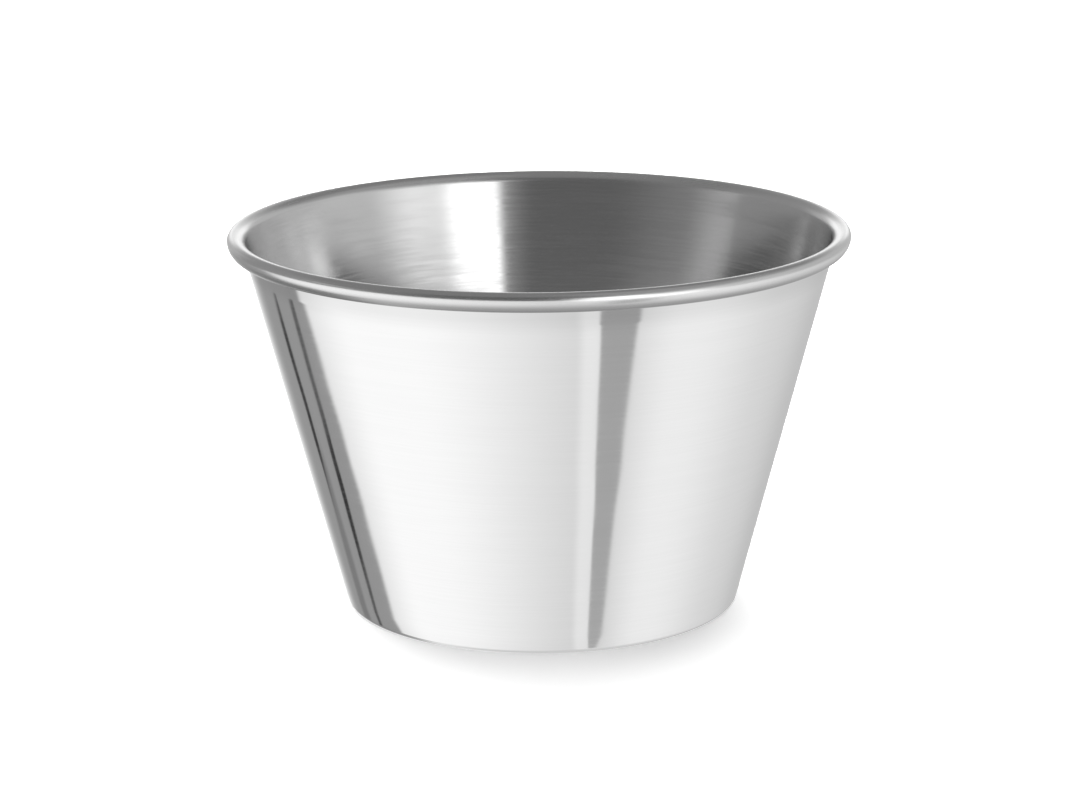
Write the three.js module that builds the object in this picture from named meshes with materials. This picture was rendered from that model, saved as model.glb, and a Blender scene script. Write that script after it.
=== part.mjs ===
// Sauce cup: a flared stainless-steel condiment cup, drawn from one disc of sheet and rolled at the rim.
// Sizes are in millimetres, +Z is up, and the origin is the centre of the flat foot, on the table.
import * as THREE from "three";

// Overall sizes
const rimDiameter = 86; // over the rolled rim
const cupHeight = 53; // from the table to the top of the rim
const footDiameter = 53.4; // flat face that stands on the table
const sheetThickness = 0.5;

// Inside radii of the bends, in the order that the sheet runs from the floor to its edge
const footBend = 0.5; // floor into wall
const neckBend = 12; // wall into the steeper neck under the rim
const flareBend = 1.15; // neck outwards to the top of the rim
const rollBend = 0.45; // over the top and round the outside of the rim
const tuckBend = 1.3; // under the rim and back towards the neck

// The sheet's lean is the angle of its run from straight up, growing as it rolls outwards
const neckLean = THREE.MathUtils.degToRad(13.3);
const flareLean = THREE.MathUtils.degToRad(90); // where the flare passes into the roll
const rollLean = THREE.MathUtils.degToRad(180); // where the roll passes into the tuck
const floorLean = Math.PI / 2; // the floor runs straight outwards
const neckDepth = 4.6; // from the top of the rim down to the foot of the neck
const edgeGap = 0.3; // between the tucked-in edge of the sheet and the neck

// Facets
const facetsAround = 72;
const arcStep = THREE.MathUtils.degToRad(18);
const samePoint = 1e-6;

// Directions across the sheet in the half-plane of radius and height, for a run of that lean
const towardsInside = (lean) => new THREE.Vector2(-Math.cos(lean), Math.sin(lean));
const towardsOutside = (lean) => towardsInside(lean).negate();

// A bend of the sheet's middle surface about a centre. An inward bend has its centre on the cup's inside,
// and an outward bend on its outside.
class Bend {
  constructor(center, insideRadius, fromLean, toLean) {
    this.center = center;
    this.radius = insideRadius + sheetThickness / 2;
    this.fromLean = fromLean;
    this.toLean = toLean;
    this.outward = toLean > fromLean;
  }

  // Point of the middle surface where the sheet has that lean.
  pointAt(lean) {
    const spoke = this.outward ? towardsInside(lean) : towardsOutside(lean);
    return spoke.multiplyScalar(this.radius).add(this.center);
  }

  // Adds the bend to an outline, on the face that lies an offset outside the middle surface.
  trace(outline, offset, backwards) {
    const faceRadius = this.outward ? this.radius - offset : this.radius + offset;
    const turn = this.outward ? Math.PI : 0;
    const leans = backwards ? [this.toLean, this.fromLean] : [this.fromLean, this.toLean];
    const clockwise = this.outward !== backwards;
    outline.absarc(this.center.x, this.center.y, faceRadius, turn - leans[0], turn - leans[1], clockwise);
  }
}

// Centre of an outward bend that continues another one at the same lean and point.
function centerAfter(previous, insideRadius) {
  const radius = insideRadius + sheetThickness / 2;
  return towardsOutside(previous.toLean).multiplyScalar(radius).add(previous.pointAt(previous.toLean));
}

// The three bends of the rolled rim. They are set out from the rim's top and its outermost line.
function rolledRim() {
  const flare = flareBend + sheetThickness / 2;
  const roll = rollBend + sheetThickness / 2;
  const rollCenter = new THREE.Vector2(rimDiameter / 2 - sheetThickness / 2 - roll, 0);
  rollCenter.y = cupHeight - sheetThickness / 2 - roll;
  const flareCenter = towardsOutside(flareLean).multiplyScalar(flare - roll).add(rollCenter);
  const flaring = new Bend(flareCenter, flareBend, neckLean, flareLean);
  const rolling = new Bend(rollCenter, rollBend, flareLean, rollLean);
  const tuckCenter = centerAfter(rolling, tuckBend);

  // The tuck ends where the corner of the sheet's edge is a gap away from the neck's outside face.
  const neckFace = flaring.pointAt(neckLean).addScaledVector(towardsOutside(neckLean), sheetThickness / 2);
  const reach = tuckCenter.clone().sub(neckFace).dot(towardsOutside(neckLean));
  const edgeRadius = tuckBend + sheetThickness;
  const edgeLean = neckLean + 2 * Math.PI - Math.acos((reach - edgeGap) / edgeRadius);
  const tucking = new Bend(tuckCenter, tuckBend, rollLean, edgeLean);
  return [flaring, rolling, tucking];
}

// The bend between floor and wall and the bend at the foot of the neck. The wall is the straight run
// that is tangent to both, so its lean follows from the foot, the neck and the height.
function wallBends(flaring) {
  const footRadius = footBend + sheetThickness / 2;
  const neckRadius = neckBend + sheetThickness / 2;
  const footCenter = new THREE.Vector2(footDiameter / 2, sheetThickness / 2 + footRadius);
  const neckTop = flaring.pointAt(neckLean);
  const drop = neckTop.y - (cupHeight - neckDepth);
  const neckFoot = new THREE.Vector2(neckTop.x - drop * Math.tan(neckLean), neckTop.y - drop);
  const neckCenter = towardsInside(neckLean).multiplyScalar(neckRadius).add(neckFoot);
  const span = neckCenter.clone().sub(footCenter);
  const wallLean = Math.acos((footRadius - neckRadius) / span.length()) - span.angle();
  const footing = new Bend(footCenter, footBend, floorLean, wallLean);
  const necking = new Bend(neckCenter, neckBend, wallLean, neckLean);
  return [footing, necking];
}

// Points along an outline: the ends of its straight runs, and steps round its arcs.
function outlinePoints(outline) {
  const points = [];
  for (const curve of outline.curves) {
    const sweep = curve.isEllipseCurve ? Math.abs(curve.aEndAngle - curve.aStartAngle) : 0;
    const steps = curve.isEllipseCurve ? Math.max(2, Math.ceil(sweep / arcStep)) : 1;
    for (const point of curve.getPoints(steps)) {
      const last = points.at(-1);
      if (!last || last.distanceTo(point) > samePoint) points.push(point);
    }
  }
  return points;
}

// Half-section of the cup: out along the table, up the outside to the edge of the sheet,
// and back down the inside to the axis.
function cupSection() {
  const rim = rolledRim();
  const bends = [...wallBends(rim[0]), ...rim];
  const outline = new THREE.Path();
  outline.moveTo(0, 0);
  outline.lineTo(footDiameter / 2, 0);
  for (const bend of bends) bend.trace(outline, sheetThickness / 2, false);
  for (const bend of bends.toReversed()) bend.trace(outline, -sheetThickness / 2, true);
  outline.lineTo(0, sheetThickness);
  return outlinePoints(outline);
}

// The whole cup is one solid of revolution.
function drawnCup() {
  const geometry = new THREE.LatheGeometry(cupSection(), facetsAround);
  geometry.rotateX(Math.PI / 2);
  const steel = new THREE.MeshStandardMaterial({ color: 0xc9cbcc, metalness: 1, roughness: 0.16 });
  const cup = new THREE.Mesh(geometry, steel);
  cup.name = "cup";
  return cup;
}

const sauceCup = new THREE.Group();
sauceCup.name = "sauce_cup";
sauceCup.add(drawnCup());

export default sauceCup;
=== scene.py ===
"""Sauce cup: one drawn sheet of stainless steel with a rolled rim, in a plain pale studio."""

from __future__ import annotations

import logging
import math
from collections.abc import Mapping, Sequence
from dataclasses import dataclass, field
from enum import Enum

import bmesh
import bpy
from mathutils import Matrix, Vector


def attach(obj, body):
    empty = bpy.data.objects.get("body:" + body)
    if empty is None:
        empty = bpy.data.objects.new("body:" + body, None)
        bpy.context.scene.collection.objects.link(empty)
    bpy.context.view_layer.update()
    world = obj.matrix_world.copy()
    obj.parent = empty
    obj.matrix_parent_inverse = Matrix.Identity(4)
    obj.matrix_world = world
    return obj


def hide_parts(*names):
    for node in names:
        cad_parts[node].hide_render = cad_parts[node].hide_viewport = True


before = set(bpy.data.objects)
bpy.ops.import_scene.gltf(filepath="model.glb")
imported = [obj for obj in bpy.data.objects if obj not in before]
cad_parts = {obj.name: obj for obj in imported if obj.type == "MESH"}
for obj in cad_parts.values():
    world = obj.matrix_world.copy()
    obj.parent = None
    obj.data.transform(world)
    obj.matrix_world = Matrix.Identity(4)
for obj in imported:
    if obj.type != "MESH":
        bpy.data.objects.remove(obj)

LOG = logging.getLogger("sauce_cup")
MM = 0.001
NODE = "cup"
BODY = "root"

# Distance under which two points are one, and a value that keeps a division safe
SAME_POINT = 1e-7
TINY = 1e-9


class Side(Enum):
    """The stretches of the sheet, by the finish that they carry."""

    OUTSIDE = 0
    RIM = 1
    INSIDE = 2


# Shader wiring


class Wire:
    """An output of a shader node. Arithmetic on it adds Math nodes."""

    def __init__(self, board: Board, socket: bpy.types.NodeSocket) -> None:
        """Wraps a socket.

        Args:
            board: The node tree that the socket belongs to.
            socket: The output socket.
        """
        self.board = board
        self.socket = socket

    def math(self, operation: str, *terms: Wire | float) -> Wire:
        """Adds a Math node.

        Args:
            operation: The node's operation.
            terms: Its inputs, in order.

        Returns:
            The node's output.
        """
        return self.board.add("ShaderNodeMath", {"operation": operation}, dict(enumerate(terms)))

    def __add__(self, other: Wire | float) -> Wire:
        """The sum."""
        return self.math("ADD", self, other)

    def __radd__(self, other: float) -> Wire:
        """The sum, with a number first."""
        return self.math("ADD", other, self)

    def __sub__(self, other: Wire | float) -> Wire:
        """The difference."""
        return self.math("SUBTRACT", self, other)

    def __rsub__(self, other: float) -> Wire:
        """The difference from a number."""
        return self.math("SUBTRACT", other, self)

    def __mul__(self, other: Wire | float) -> Wire:
        """The product."""
        return self.math("MULTIPLY", self, other)

    def __rmul__(self, other: float) -> Wire:
        """The product, with a number first."""
        return self.math("MULTIPLY", other, self)

    def __truediv__(self, other: Wire | float) -> Wire:
        """The quotient."""
        return self.math("DIVIDE", self, other)


class Board:
    """A node tree under construction."""

    def __init__(self, tree: bpy.types.NodeTree) -> None:
        """Empties a node tree.

        Args:
            tree: The tree of a material or of the world.
        """
        self.tree = tree
        self.tree.nodes.clear()

    def add(
        self,
        kind: str,
        settings: Mapping[str, object] | None = None,
        inputs: Mapping[str | int, object] | None = None,
        output: str | int = 0,
    ) -> Wire:
        """Adds any node.

        Args:
            kind: The node's type.
            settings: Its own settings, which are set first.
            inputs: Values or wires for its sockets, by name or place.
            output: The socket to hand back, by name or place.

        Returns:
            The chosen output.
        """
        node = self.tree.nodes.new(kind)
        for name, value in (settings or {}).items():
            setattr(node, name, value)
        for name, value in (inputs or {}).items():
            socket = node.inputs[name]
            if isinstance(value, Wire):
                self.tree.links.new(value.socket, socket)
            else:
                socket.default_value = value
        return Wire(self, node.outputs[output] if len(node.outputs) else None)

    def ramp(self, value: Wire | float, start: Wire | float, end: Wire | float) -> Wire:
        """A smooth step.

        Args:
            value: The value that is tested.
            start: Where the step leaves 0.
            end: Where it reaches 1.

        Returns:
            A value from 0 to 1.
        """
        limits = {"Value": value, "From Min": start, "From Max": end}
        return self.add("ShaderNodeMapRange", {"interpolation_type": "SMOOTHSTEP"}, limits)

    def split(self, vector: Wire) -> tuple[Wire, Wire, Wire]:
        """The three parts of a vector.

        Args:
            vector: The vector.

        Returns:
            Its x, y and z.
        """
        first = self.add("ShaderNodeSeparateXYZ", inputs={0: vector})
        outputs = first.socket.node.outputs
        return first, Wire(self, outputs[1]), Wire(self, outputs[2])

    def noise(self, vector: Wire, detail: float, roughness: float) -> Wire:
        """Cloudy noise of unit grain.

        Args:
            vector: Where it is read.
            detail: Number of finer layers.
            roughness: Weight of the finer layers.

        Returns:
            The noise, about 0.5.
        """
        looks = {"Vector": vector, "Scale": 1.0, "Detail": detail, "Roughness": roughness}
        return self.add("ShaderNodeTexNoise", inputs=looks, output="Fac")


# Finishes of the steel

# Layers of the noise under the lines and patches, and the weight of the finer layers
FINE_LAYERS = 3.0
COARSE_LAYERS = 2.0
CLOUD_LAYERS = 3.0
LINE_GRAIN = 0.6
CLOUD_GRAIN = 0.55

# How fine and coarse lines are mixed into streaks
FINE_SHARE = 0.6
COARSE_SHARE = 0.4
COARSE_HEIGHT = 1.5
STREAK_LOW = 0.36
STREAK_HIGH = 0.64
NOISE_MIDDLE = 0.5
LEAST_ROUGHNESS = 0.02


@dataclass(frozen=True)
class SteelFinish:
    """Bare stainless steel with fine lines that run round the cup.

    Attributes:
        name: Name of the material.
        tone: Mean reflectance.
        tone_spread: Share by which single lines stray from it.
        roughness: Mean roughness.
        line_roughness: How far single lines stray from it.
        cloud_roughness: How far cloudy patches stray from it.
        anisotropy: How much the lines smear a reflection across themselves.
        pitch: Width of the finest lines, in metres.
        length: Length of the lines round the cup, in metres.
        depth: Depth of the lines, in metres.
        rim_shade: Share of the reflectance taken away under the rim, as painted shade.
        rim_shade_from: Height at which the painted shade starts.
        rim_shade_to: Height from which the painted shade is whole.
        coarse: Width of the coarser lines, as a multiple of the finest.
        cloud: Size of the cloudy patches, in metres.
        quarter_turn: Turn of the smear, so that it runs across the lines.
        reach: Radius at which the lines have their stated length, in metres.
    """

    name: str
    tone: float
    tone_spread: float
    roughness: float
    line_roughness: float
    cloud_roughness: float
    anisotropy: float
    pitch: float
    length: float
    depth: float
    rim_shade: float = 0.0
    rim_shade_from: float = 52 * MM
    rim_shade_to: float = 50.5 * MM
    coarse: float = 5.0
    cloud: float = 0.011
    quarter_turn: float = 0.25
    reach: float = 0.035

    def lines(self, board: Board, pitch: float, detail: float) -> Wire:
        """Noise drawn out round the cup's axis.

        Args:
            board: The material's node tree.
            pitch: Width of a line across its run.
            detail: Number of finer layers.

        Returns:
            The noise, about 0.5.
        """
        place = board.add("ShaderNodeTexCoord", output="Object")
        x, y, z = board.split(place)
        radius = x.math("SQRT", x * x + y * y + TINY)
        turn = self.reach / self.length
        across = (z + radius) / pitch
        parts = {0: x / radius * turn, 1: y / radius * turn, 2: across}
        return board.noise(board.add("ShaderNodeCombineXYZ", inputs=parts), detail, LINE_GRAIN)

    def painted_rim_shade(self, board: Board) -> Wire:
        """The share of reflectance that is kept, lower under the rim as painted shade.

        Args:
            board: The material's node tree.

        Returns:
            A factor up to 1.
        """
        height = board.split(board.add("ShaderNodeTexCoord", output="Object"))[2]
        return 1 - board.ramp(height, self.rim_shade_from, self.rim_shade_to) * self.rim_shade

    def clouds(self, board: Board) -> Wire:
        """Soft patches, as wiping and handling leave.

        Args:
            board: The material's node tree.

        Returns:
            The noise, about 0.5.
        """
        place = board.add("ShaderNodeTexCoord", output="Object")
        scale = {0: place, 3: 1 / self.cloud}
        spread = board.add("ShaderNodeVectorMath", {"operation": "SCALE"}, scale)
        return board.noise(spread, CLOUD_LAYERS, CLOUD_GRAIN)

    def material(self) -> bpy.types.Material:
        """Makes the material.

        Returns:
            The new material.
        """
        steel = bpy.data.materials.new(self.name)
        steel.use_nodes = True
        board = Board(steel.node_tree)
        fine = self.lines(board, self.pitch, FINE_LAYERS)
        coarse = self.lines(board, self.pitch * self.coarse, COARSE_LAYERS)
        clouds = self.clouds(board)
        mixed = fine * FINE_SHARE + coarse * COARSE_SHARE
        streaks = board.ramp(mixed, STREAK_LOW, STREAK_HIGH) - NOISE_MIDDLE
        # The tone carries painted shade under the rim, standing in for the shadow there
        tone = self.tone * (1 + streaks * (2 * self.tone_spread)) * self.painted_rim_shade(board)
        rough = self.roughness + streaks * (2 * self.line_roughness)
        rough = rough + (clouds - NOISE_MIDDLE) * (2 * self.cloud_roughness)
        relief = fine + coarse * COARSE_HEIGHT
        bump = {"Strength": 1.0, "Distance": self.depth, "Height": relief}
        surface = board.add(
            "ShaderNodeBsdfPrincipled",
            inputs={
                "Base Color": board.add("ShaderNodeCombineColor", inputs={0: tone, 1: tone, 2: tone}),
                "Metallic": 1.0,
                "Roughness": rough.math("MAXIMUM", rough, LEAST_ROUGHNESS),
                "Anisotropic": self.anisotropy,
                "Anisotropic Rotation": self.quarter_turn,
                "Normal": board.add("ShaderNodeBump", inputs=bump),
            },
        )
        board.add("ShaderNodeOutputMaterial", inputs={"Surface": surface})
        return steel


POLISHED = SteelFinish(
    name="steel_polished",
    tone=0.78,
    tone_spread=0.008,
    roughness=0.07,
    line_roughness=0.012,
    cloud_roughness=0.03,
    anisotropy=0.5,
    pitch=0.25 * MM,
    length=18 * MM,
    depth=0.0006 * MM,
    # Painted shade on the wall just under the rim
    rim_shade=0.12,
    rim_shade_from=46.5 * MM,
    rim_shade_to=49.5 * MM,
)
ROLLED = SteelFinish(
    name="steel_rolled",
    tone=0.72,
    tone_spread=0.015,
    roughness=0.24,
    line_roughness=0.03,
    cloud_roughness=0.04,
    anisotropy=0.3,
    pitch=0.2 * MM,
    length=20 * MM,
    depth=0.0006 * MM,
    # Painted shade on the underside of the rolled rim
    rim_shade=0.5,
)
SPUN = SteelFinish(
    name="steel_spun",
    tone=0.72,
    tone_spread=0.012,
    roughness=0.18,
    line_roughness=0.035,
    cloud_roughness=0.04,
    anisotropy=0.7,
    pitch=0.4 * MM,
    length=9 * MM,
    depth=0.0005 * MM,
)


# The sheet and its bends

FEWEST_STEPS = 3
Ring = list[bmesh.types.BMVert]


def towards_inside(lean: float) -> Vector:
    """Direction across the sheet, towards the cup's inside.

    Args:
        lean: The sheet's angle from straight up, growing outwards.

    Returns:
        A unit step of radius and height.
    """
    return Vector((-math.cos(lean), math.sin(lean)))


@dataclass(frozen=True)
class Bend:
    """A bend of the sheet's middle surface.

    Attributes:
        center: Radius and height of the bend's centre.
        radius: Radius of the middle surface.
        start: Lean of the sheet where the bend starts.
        end: Lean where it ends.
        step: Largest turn between two points.
    """

    center: Vector
    radius: float
    start: float
    end: float
    step: float = math.radians(6)

    @property
    def hand(self) -> int:
        """1 where the sheet turns outwards, -1 where it turns inwards."""
        return 1 if self.end > self.start else -1

    def point(self, lean: float, offset: float = 0.0) -> Vector:
        """A point of the bend.

        Args:
            lean: The sheet's lean there.
            offset: Distance outside the middle surface.

        Returns:
            Radius and height.
        """
        return self.center + towards_inside(lean) * (self.hand * self.radius - offset)

    def face(self, offset: float) -> list[Vector]:
        """Points along one face of the sheet.

        Args:
            offset: Distance of the face outside the middle surface.

        Returns:
            The points, from start to end.
        """
        steps = max(FEWEST_STEPS, math.ceil(abs(self.end - self.start) / self.step))
        leans = [self.start + (self.end - self.start) * index / steps for index in range(steps + 1)]
        return [self.point(lean, offset) for lean in leans]


@dataclass(frozen=True)
class Swell:
    """A slight wave that runs round the wall.

    Attributes:
        lobes: Number of crests round the cup.
        twist: How far the wave turns from the foot to the rim, in radians.
    """

    lobes: int
    twist: float


@dataclass
class Cup:
    """The cup: floor, foot bend, conical wall, neck and rolled rim, all of one sheet.

    Lengths are in metres and angles in radians. Each bend is given by its inside radius.

    Attributes:
        rim_diameter: Over the rolled rim.
        height: From the table to the top of the rim.
        foot_diameter: Flat face that stands on the table.
        sheet: Thickness of the sheet.
        foot_bend: From the floor into the wall.
        neck_bend: From the wall into the steeper neck.
        flare_bend: From the neck outwards to the top of the rim.
        roll_bend: Over the top and round the outside of the rim.
        tuck_bend: Under the rim and back towards the neck.
        neck_lean: Lean of the neck.
        flare_lean: Lean where the flare passes into the roll.
        roll_lean: Lean where the roll passes into the tuck.
        neck_depth: From the top of the rim down to the foot of the neck.
        edge_gap: Between the edge of the sheet and the neck.
        longest_run: Longest step between two rings.
        facets: Number of faces round the cup.
        ripple: Height of one swell.
        swells: The waves that make the wall uneven.
        finishes: The finish of each side.
    """

    rim_diameter: float = 86 * MM
    height: float = 53 * MM
    foot_diameter: float = 53.4 * MM
    sheet: float = 0.5 * MM
    foot_bend: float = 0.5 * MM
    neck_bend: float = 12 * MM
    flare_bend: float = 1.15 * MM
    roll_bend: float = 0.45 * MM
    tuck_bend: float = 1.3 * MM
    neck_lean: float = math.radians(13.3)
    flare_lean: float = math.radians(90)
    roll_lean: float = math.radians(180)
    neck_depth: float = 4.6 * MM
    edge_gap: float = 0.3 * MM
    longest_run: float = 2 * MM
    facets: int = 288
    ripple: float = 0.004 * MM
    swells: tuple[Swell, ...] = (
        Swell(lobes=7, twist=9),
        Swell(lobes=13, twist=-17),
        Swell(lobes=5, twist=31),
    )
    finishes: dict[Side, SteelFinish] = field(
        default_factory=lambda: {Side.OUTSIDE: POLISHED, Side.RIM: ROLLED, Side.INSIDE: SPUN}
    )

    def rim_bends(self) -> list[Bend]:
        """The flare, roll and tuck of the rim, set out from its top and its widest line.

        Returns:
            The three bends, in the order of the sheet.
        """
        half = self.sheet / 2
        flare, roll, tuck = (bend + half for bend in (self.flare_bend, self.roll_bend, self.tuck_bend))
        roll_center = Vector((self.rim_diameter / 2 - half - roll, self.height - half - roll))
        flare_center = roll_center - towards_inside(self.flare_lean) * (flare - roll)
        tuck_center = roll_center + towards_inside(self.roll_lean) * (roll - tuck)
        flaring = Bend(flare_center, flare, self.neck_lean, self.flare_lean)
        outwards = -towards_inside(self.neck_lean)
        reach = (tuck_center - flaring.point(self.neck_lean, half)).dot(outwards)
        turned_back = math.acos((reach - self.edge_gap) / (tuck + half))
        edge_lean = self.neck_lean + math.tau - turned_back
        return [
            flaring,
            Bend(roll_center, roll, self.flare_lean, self.roll_lean),
            Bend(tuck_center, tuck, self.roll_lean, edge_lean),
        ]

    def wall_bends(self, flaring: Bend) -> list[Bend]:
        """The foot bend and the neck bend, which the wall joins as their common tangent.

        Args:
            flaring: The first bend of the rim.

        Returns:
            The two bends.
        """
        half = self.sheet / 2
        foot, neck = self.foot_bend + half, self.neck_bend + half
        foot_center = Vector((self.foot_diameter / 2, half + foot))
        neck_top = flaring.point(self.neck_lean)
        drop = neck_top.y - (self.height - self.neck_depth)
        neck_foot = neck_top - Vector((math.tan(self.neck_lean), 1)) * drop
        neck_center = neck_foot + towards_inside(self.neck_lean) * neck
        span = neck_center - foot_center
        wall_lean = math.acos((foot - neck) / span.length) - math.atan2(span.y, span.x)
        return [
            Bend(foot_center, foot, math.pi / 2, wall_lean),
            Bend(neck_center, neck, wall_lean, self.neck_lean),
        ]

    def fill_in(self, points: Sequence[Vector]) -> list[Vector]:
        """Adds points along straight runs, and drops doubled ones.

        Args:
            points: Corners of a line.

        Returns:
            The line with no run longer than the longest one allowed.
        """
        line = [points[0]]
        for point in points[1:]:
            run = point - line[-1]
            if run.length < SAME_POINT:
                continue
            parts = math.ceil(run.length / self.longest_run)
            start = line[-1]
            line.extend(start + run * (index / parts) for index in range(1, parts + 1))
        return line

    def section(self) -> dict[Side, list[Vector]]:
        """The half-section, in three stretches that follow each other.

        Returns:
            The outside up to the sheet's edge, the rim's upper face, and the inside down to the axis.
        """
        half = self.sheet / 2
        rim = self.rim_bends()
        wall = self.wall_bends(rim[0])
        outside = [Vector((0, 0))]
        for bend in wall + rim:
            outside += bend.face(half)
        over_rim = []
        for bend in reversed(rim):
            over_rim += reversed(bend.face(-half))
        inside = [over_rim[-1]]
        for bend in reversed(wall):
            inside += reversed(bend.face(-half))
        inside.append(Vector((0, self.sheet)))
        stretches = {Side.OUTSIDE: outside, Side.RIM: over_rim, Side.INSIDE: inside}
        return {side: self.fill_in(points) for side, points in stretches.items()}

    def wave(self, angle: float, height: float) -> float:
        """Slight unevenness that drawing leaves in the wall, none at the foot and the rim.

        Args:
            angle: Place round the cup.
            height: Height on the wall.

        Returns:
            Outward shift of the sheet.
        """
        share = height / self.height
        fade = math.sin(math.pi * min(max(share, 0.0), 1.0)) ** 2
        waves = (math.sin(swell.lobes * angle + swell.twist * share) for swell in self.swells)
        return self.ripple * fade * sum(waves)

    def ring(self, mesh: bmesh.types.BMesh, place: Vector) -> Ring:
        """One ring of vertices.

        Args:
            mesh: The mesh that they join.
            place: Radius and height of the ring.

        Returns:
            The ring, or the one vertex on the axis.
        """
        if place.x < SAME_POINT:
            return [mesh.verts.new((0, 0, place.y))]
        vertices = []
        for index in range(self.facets):
            angle = math.tau * index / self.facets
            radius = place.x + self.wave(angle, place.y)
            vertices.append(mesh.verts.new((radius * math.cos(angle), radius * math.sin(angle), place.y)))
        return vertices

    def band(self, mesh: bmesh.types.BMesh, low: Ring, high: Ring, side: Side) -> None:
        """Joins two rings with faces.

        Args:
            mesh: The mesh that the faces join.
            low: The first ring along the section.
            high: The next ring.
            side: Which finish the faces carry.
        """
        for index in range(self.facets):
            after = (index + 1) % self.facets
            corners = [low[index % len(low)], low[after % len(low)], high[after % len(high)]]
            corners.append(high[index % len(high)])
            face = mesh.faces.new(list(dict.fromkeys(corners)))
            face.material_index = side.value
            face.smooth = True

    def build(self) -> bpy.types.Object:
        """Turns the section round the axis.

        Returns:
            The cup as one closed mesh.
        """
        mesh = bmesh.new()
        section = self.section()
        rings: list[Ring] = []
        for side, points in section.items():
            # The inside starts on the last ring of the rim
            for place in points[1:] if side is Side.INSIDE else points:
                rings.append(self.ring(mesh, place))
                if len(rings) > 1:
                    self.band(mesh, rings[-2], rings[-1], side)
        edge = len(section[Side.OUTSIDE])
        for ring in rings[edge - 1 : edge + 1]:
            self.sharpen(ring)
        bmesh.ops.recalc_face_normals(mesh, faces=mesh.faces)
        data = bpy.data.meshes.new("cup_shell")
        mesh.to_mesh(data)
        mesh.free()
        shell = bpy.data.objects.new("cup_shell", data)
        bpy.context.scene.collection.objects.link(shell)
        return shell

    def sharpen(self, ring: Ring) -> None:
        """Keeps a corner of the sheet's edge crisp.

        Args:
            ring: The ring of vertices along that corner.
        """
        members = set(ring)
        for vertex in ring:
            for edge in vertex.link_edges:
                edge.smooth = edge.smooth and not members.issuperset(edge.verts)

    def dress(self, shell: bpy.types.Object) -> None:
        """Gives the cup its finishes and ties it to the frame.

        Args:
            shell: The cup's mesh object.
        """
        for side in Side:
            shell.data.materials.append(self.finishes[side].material())
        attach(shell, BODY)
        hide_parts(NODE)


# The studio

# Limits beyond every azimuth and every elevation, in degrees
ALL_ROUND = 400.0
ALL_HEIGHTS = 120.0


@dataclass(frozen=True)
class Panel:
    """A soft box, flag or pool of light that the steel mirrors, placed by direction from the cup.

    Angles are in degrees. Azimuth grows to the right from the camera's side, and elevation upwards.

    Attributes:
        level: Brightness.
        left: Azimuth of the left edge at the pivot elevation.
        right: Azimuth of the right edge there.
        left_blur: Width of the left edge's fade.
        right_blur: Width of the right edge's fade.
        low: Elevation of the lower edge.
        high: Elevation of the upper edge.
        low_blur: Width of the lower edge's fade.
        high_blur: Width of the upper edge's fade.
        left_slant: How far the left edge moves to the right for each degree below the pivot.
        right_slant: How far the right edge moves.
        pivot: Elevation at which the edges are stated.
    """

    level: float
    left: float = -ALL_ROUND
    right: float = ALL_ROUND
    left_blur: float = 2.0
    right_blur: float = 2.0
    low: float = -ALL_HEIGHTS
    high: float = ALL_HEIGHTS
    low_blur: float = 10.0
    high_blur: float = 10.0
    left_slant: float = 0.0
    right_slant: float = 0.0
    pivot: float = -40.0

    def edge(self, board: Board, value: Wire, place: Wire | float, blur: float) -> Wire:
        """A fade from 0 to 1 across an edge.

        Args:
            board: The world's node tree.
            value: Azimuth or elevation.
            place: Middle of the fade.
            blur: Width of the fade.

        Returns:
            The fade.
        """
        return board.ramp(value - place, -blur / 2, blur / 2)

    def mask(self, board: Board, azimuth: Wire, elevation: Wire) -> Wire:
        """Where the panel shows.

        Args:
            board: The world's node tree.
            azimuth: Azimuth of the mirrored direction.
            elevation: Its elevation.

        Returns:
            1 on the panel and 0 off it.
        """
        below = elevation.math("MAXIMUM", self.pivot - elevation, 0.0)
        left = self.edge(board, azimuth, self.left + below * self.left_slant, self.left_blur)
        right = self.edge(board, azimuth, self.right + below * self.right_slant, self.right_blur)
        low = self.edge(board, elevation, self.low, self.low_blur)
        high = self.edge(board, elevation, self.high, self.high_blur)
        return left * (1 - right) * low * (1 - high)

    def over(self, board: Board, behind: Wire | float, azimuth: Wire, elevation: Wire) -> Wire:
        """Lays the panel over what is behind it.

        Args:
            board: The world's node tree.
            behind: Brightness behind the panel.
            azimuth: Azimuth of the mirrored direction.
            elevation: Its elevation.

        Returns:
            The new brightness.
        """
        mask = self.mask(board, azimuth, elevation)
        return behind + (self.level - behind) * mask


# Soft lamps that light the floor and shape the cup's shadow
SIDE_LAMP = Panel(level=1.57, right=-50, right_blur=40, low=19, high=80, high_blur=20)
BACK_LEFT_LAMP = Panel(level=7.3, right=-126, right_blur=40, low=19, high=80, high_blur=20)
BACK_RIGHT_LAMP = Panel(level=5.8, left=136, left_blur=40, low=19, high=80, high_blur=20)
TOP_LAMP = Panel(level=5.3, left=-70, right=110, left_blur=60, right_blur=60, low=65, low_blur=20)

# Pale floor round the cup, as the outside mirrors it
LEFT_POOL = Panel(level=1.22, left=-175, right=-10, left_blur=10, right_blur=106)
RIGHT_POOL = Panel(level=1.07, left=48, left_blur=36, right=100, right_blur=60)
BACK_SHADE = Panel(level=0.58, left=142, right=175, left_blur=46, right_blur=10, low=-54)
LIGHT_LINE = Panel(
    level=1.02, left=17.5, right=28, left_blur=6, right_blur=2, left_slant=0.5, right_slant=0.7
)
GREY_STRIPE = Panel(
    level=0.44, left=26.2, right=44.2, left_blur=1.5, right_blur=2.5, high=-22,
    left_slant=0.68, right_slant=-0.6,
)

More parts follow.
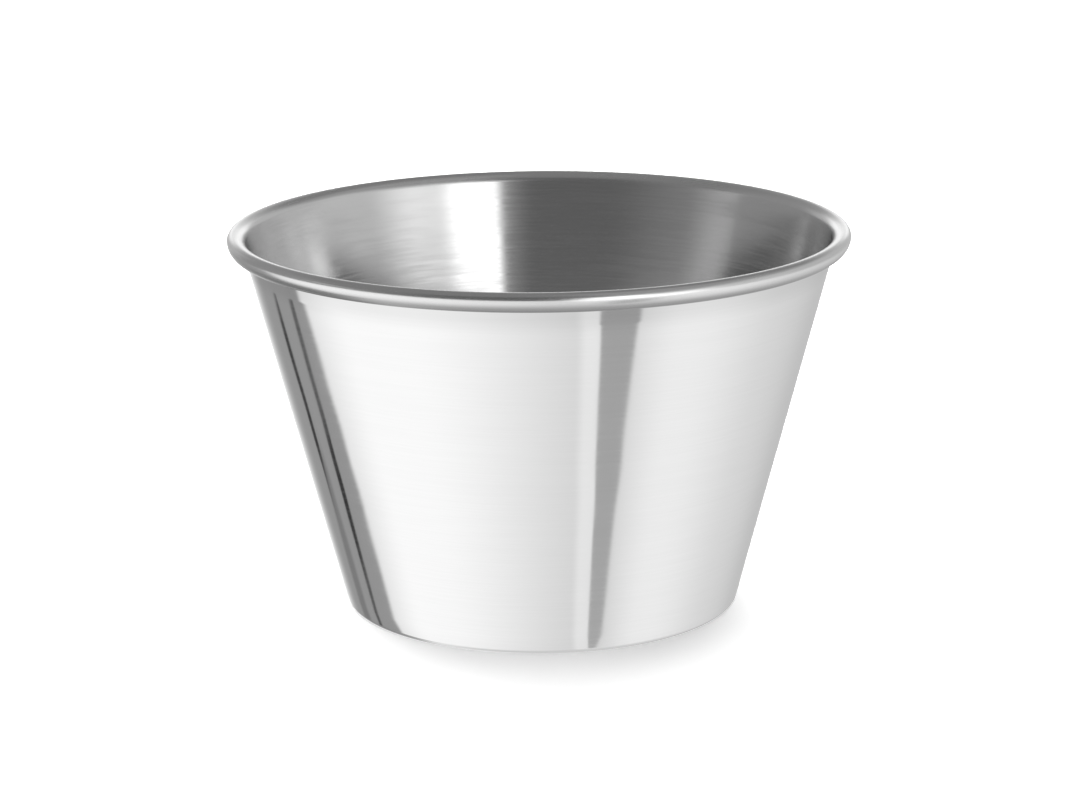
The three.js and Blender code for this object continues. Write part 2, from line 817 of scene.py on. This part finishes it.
# Grey band on the left and its two dark lines, the far one passing into a soft shade
LEFT_FRINGE = Panel(
    level=0.98, left=-150, right=-108, left_blur=30, right_blur=24, low=-54, right_slant=0.93, pivot=-26
)
LEFT_BAND = Panel(
    level=0.36, left=-163, right=-116, left_blur=32, right_blur=3, low=-54, right_slant=0.93, pivot=-26
)
FAR_SHADE = Panel(
    level=0.24, left=-142, right=-134, left_blur=4, right_blur=4, low=-54, high=-25.9, high_blur=1.2
)
FAR_LINE = Panel(
    level=0.05, left=-139, right=-135.6, left_blur=1, right_blur=1, low=-25.9, low_blur=1.2,
    high=-22.4, high_blur=1.2,
)
NEAR_LINE = Panel(
    level=0.12, left=-125.4, right=-122.2, left_blur=1, right_blur=1, low=-54, high=-25.4, high_blur=1.2
)
NEAR_CORE = Panel(
    level=0.04, left=-125.6, right=-122, left_blur=1, right_blur=1, low=-30.7, low_blur=1,
    high=-28.4, high_blur=1,
)

# Shade close to the foot
UNDER_CUP = Panel(level=0.74, high=-58, high_blur=40)

# Room above the floor, as the inside and the rim mirror it
ROOM = Panel(level=0.245, low=-1, low_blur=10)
CAMERA_SIDE = Panel(
    level=0.14, left=-48, right=14, left_blur=40, right_blur=6, low=-4, high=52, high_blur=24
)
RIGHT_CEILING = Panel(
    level=0.36, left=30, right=125, left_blur=4, right_blur=24, low=-4, high=85, high_blur=30
)
RIGHT_REAR = Panel(level=0.58, left=90, low=-8, high=26, high_blur=18)
RIGHT_WALL = Panel(
    level=0.66, left=30, right=102, left_blur=4, right_blur=16, low=-4, high=32, high_blur=30
)
RIGHT_GLOW = Panel(
    level=1.18, left=30, right=64, left_blur=4, right_blur=24, low=-9, low_blur=8, high=20, high_blur=12
)
HALO = Panel(level=0.3, left=9, right=30, left_blur=14, right_blur=4, low=-4, high=28, high_blur=16)
SOFT_BOX = Panel(
    level=1.95, left=16.5, right=38, left_blur=3, right_blur=11, low=-9, low_blur=8, high=25, high_blur=10
)
LOW_GLOW = Panel(
    level=1.9, left=13, right=56, left_blur=5, right_blur=20, low=-15, low_blur=8, high=3, high_blur=8
)
LEFT_WALL = Panel(level=0.32, right=-88, right_blur=4, low=-4, high=40, high_blur=30)
LEFT_SHEEN = Panel(
    level=0.36, left=-90, right=-76, left_blur=3, right_blur=24, low=8, low_blur=6, high=17, high_blur=8
)
SHEEN_SPOT = Panel(
    level=0.88, left=-90, right=-76, left_blur=3, right_blur=26, low=12.6, low_blur=3, high=18, high_blur=6
)
BACKDROP_RIGHT = Panel(level=1.28, left=160, left_blur=12, low=2, low_blur=6, high=14.5, high_blur=5)
LEFT_REAR = Panel(level=0.55, right=-140, right_blur=16, low=-8, high=18, high_blur=14)
BACKDROP_LEFT = Panel(level=1.28, right=-160, right_blur=12, low=2, low_blur=6, high=14.5, high_blur=5)


@dataclass
class Surround:
    """What lies round the cup: white to the camera, lamps for the floor, panels in the steel.

    Attributes:
        floor_level: Brightness that the steel mirrors behind all panels.
        dim: Brightness that lights the floor beside the lamps.
        lamps: What lights the floor, from the back to the front.
        panels: What the steel mirrors, from the back to the front.
    """

    floor_level: float = 0.81
    dim: float = 0.09
    lamps: tuple[Panel, ...] = (SIDE_LAMP, BACK_LEFT_LAMP, BACK_RIGHT_LAMP, TOP_LAMP)
    panels: tuple[Panel, ...] = (
        LEFT_POOL,
        RIGHT_POOL,
        BACK_SHADE,
        LIGHT_LINE,
        GREY_STRIPE,
        LEFT_FRINGE,
        LEFT_BAND,
        FAR_SHADE,
        FAR_LINE,
        NEAR_LINE,
        NEAR_CORE,
        UNDER_CUP,
        ROOM,
        CAMERA_SIDE,
        RIGHT_CEILING,
        RIGHT_REAR,
        RIGHT_WALL,
        RIGHT_GLOW,
        HALO,
        SOFT_BOX,
        LOW_GLOW,
        LEFT_WALL,
        LEFT_SHEEN,
        SHEEN_SPOT,
        BACKDROP_RIGHT,
        LEFT_REAR,
        BACKDROP_LEFT,
    )

    def layered(self, board: Board, base: float, panels: Sequence[Panel]) -> Wire:
        """Brightness of the studio by direction.

        Args:
            board: The world's node tree.
            base: Brightness behind all panels.
            panels: The panels, from the back to the front.

        Returns:
            The brightness.
        """
        x, y, z = board.split(board.add("ShaderNodeTexCoord", output="Generated"))
        azimuth = x.math("ARCTAN2", x, 0 - y) * math.degrees(1)
        elevation = z.math("ARCSINE", z) * math.degrees(1)
        level: Wire | float = base
        for panel in panels:
            level = panel.over(board, level, azimuth, elevation)
        return level

    def build(self) -> bpy.types.World:
        """Makes the world.

        Returns:
            The scene's new world.
        """
        world = bpy.data.worlds.new("studio")
        world.use_nodes = True
        board = Board(world.node_tree)
        camera = board.add("ShaderNodeLightPath", output="Is Camera Ray")
        glossy = board.add("ShaderNodeLightPath", output="Is Glossy Ray")
        light = self.layered(board, self.dim, self.lamps)
        mirrored = self.layered(board, self.floor_level, self.panels)
        unseen = light + (mirrored - light) * glossy
        level = unseen + (1 - unseen) * camera
        shine = board.add("ShaderNodeBackground", inputs={"Color": level, "Strength": 1.0})
        board.add("ShaderNodeOutputWorld", inputs={"Surface": shine})
        world.cycles.sampling_method = "NONE"
        bpy.context.scene.world = world
        return world


@dataclass
class Floor:
    """A plain pale floor that keeps the cup's soft shadow.

    Attributes:
        half_width: Half of its side, in metres.
        top: Its height, a hair below the foot.
        tone: Its reflectance.
        glow: Brightness that it adds for the camera.
    """

    half_width: float = 3.0
    top: float = -0.02 * MM
    tone: float = 0.9
    glow: float = 0.24

    def build(self) -> bpy.types.Object:
        """Makes the floor.

        Returns:
            The floor, as a part of the stage.
        """
        reach = self.half_width
        turns = ((-1, -1), (1, -1), (1, 1), (-1, 1))
        corners = [(x * reach, y * reach, self.top) for x, y in turns]
        data = bpy.data.meshes.new("floor")
        data.from_pydata(corners, [], [(0, 1, 2, 3)])
        floor = bpy.data.objects.new("floor", data)
        bpy.context.scene.collection.objects.link(floor)
        data.materials.append(self.paint())
        floor.visible_glossy = False
        return floor

    def paint(self) -> bpy.types.Material:
        """A matt white that glows to the camera alone.

        Returns:
            The floor's material.
        """
        paint = bpy.data.materials.new("pale_floor")
        paint.use_nodes = True
        board = Board(paint.node_tree)
        tone = (self.tone, self.tone, self.tone, 1.0)
        matt = board.add("ShaderNodeBsdfDiffuse", inputs={"Color": tone})
        shown = board.add("ShaderNodeLightPath", output="Is Camera Ray") * self.glow
        glow = board.add("ShaderNodeEmission", inputs={"Color": shown, "Strength": 1.0})
        both = board.add("ShaderNodeAddShader", inputs={0: matt, 1: glow})
        board.add("ShaderNodeOutputMaterial", inputs={"Surface": both})
        return paint


@dataclass
class Viewpoint:
    """The camera, at the photograph's angle. Angles are in degrees.

    Attributes:
        distance: From the target, in metres.
        elevation: Height angle above the target.
        pan: Turn to the right from the target.
        tilt: Turn upwards from it.
        roll: Turn about the line of sight.
        lens: Focal length, in millimetres.
        sensor: Width of the sensor, in millimetres.
        nearest: Where the picture starts in depth, in metres.
        target_height: Height of the target on the cup's axis, in metres.
    """

    distance: float = 450.5 * MM
    elevation: float = 14.74
    pan: float = -0.105
    tilt: float = 0.209
    roll: float = -0.511
    lens: float = 108.19
    sensor: float = 36.0
    nearest: float = 10 * MM
    target_height: float = 26.5 * MM

    def build(self) -> bpy.types.Object:
        """Sets up the camera.

        Returns:
            The scene's camera.
        """
        data = bpy.data.cameras.new("camera")
        data.lens = self.lens
        data.sensor_width = self.sensor
        data.clip_start = self.nearest
        camera = bpy.data.objects.new("camera", data)
        bpy.context.scene.collection.objects.link(camera)
        upright = self.turn(90 - self.elevation, "X")
        aim = upright @ self.turn(-self.pan, "Y") @ self.turn(self.tilt, "X") @ self.turn(self.roll, "Z")
        rise = math.radians(self.elevation)
        outwards = Vector((0, -math.cos(rise), math.sin(rise)))
        middle = Vector((0, 0, self.target_height))
        camera.matrix_world = Matrix.Translation(middle + outwards * self.distance) @ aim
        bpy.context.scene.camera = camera
        return camera

    def turn(self, angle: float, axis: str) -> Matrix:
        """A turn by degrees about one axis."""
        return Matrix.Rotation(math.radians(angle), 4, axis)


def main() -> None:
    """Builds the cup and its studio."""
    logging.basicConfig(level=logging.INFO)
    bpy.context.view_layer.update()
    bpy.context.scene.view_settings.view_transform = "Standard"
    cup = Cup()
    shell = cup.build()
    cup.dress(shell)
    LOG.info("%s: %d faces", shell.name, len(shell.data.polygons))
    for stage in (Surround(), Floor(), Viewpoint()):
        LOG.info("studio: %s", stage.build().name)


if __name__ == "__main__":
    main()
